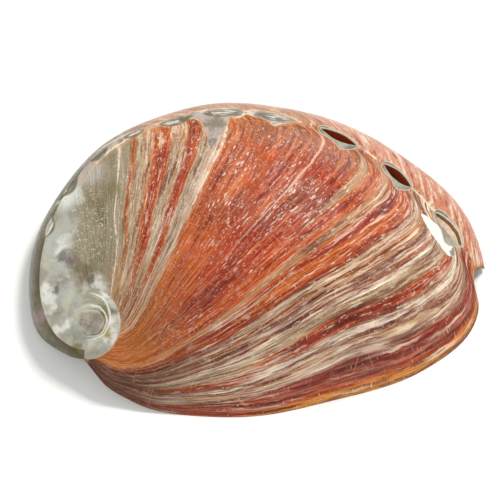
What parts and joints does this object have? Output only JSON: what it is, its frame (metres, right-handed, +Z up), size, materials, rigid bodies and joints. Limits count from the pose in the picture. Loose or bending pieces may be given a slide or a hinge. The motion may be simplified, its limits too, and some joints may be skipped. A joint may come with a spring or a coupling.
{
  "type": "abalone shell",
  "caption": "Polished ear-shaped sea shell: a low spiral dome with a row of breathing holes, hollow and open underneath, resting on its rim.",
  "frame": {"origin": "middle of the shell's bounding box, on the surface that it rests on", "axes": "+X along the shell's length towards the front end with the notch, +Y across it towards the row of holes, +Z up through the dome"},
  "size_m": [0.1512, 0.1102, 0.045],
  "materials": {
    "shell": "polished shell, glossy, red and cream growth bands over mother-of-pearl"
  },
  "bodies": {
    "root": {"shell": "shell"}
  },
  "joints": []
}
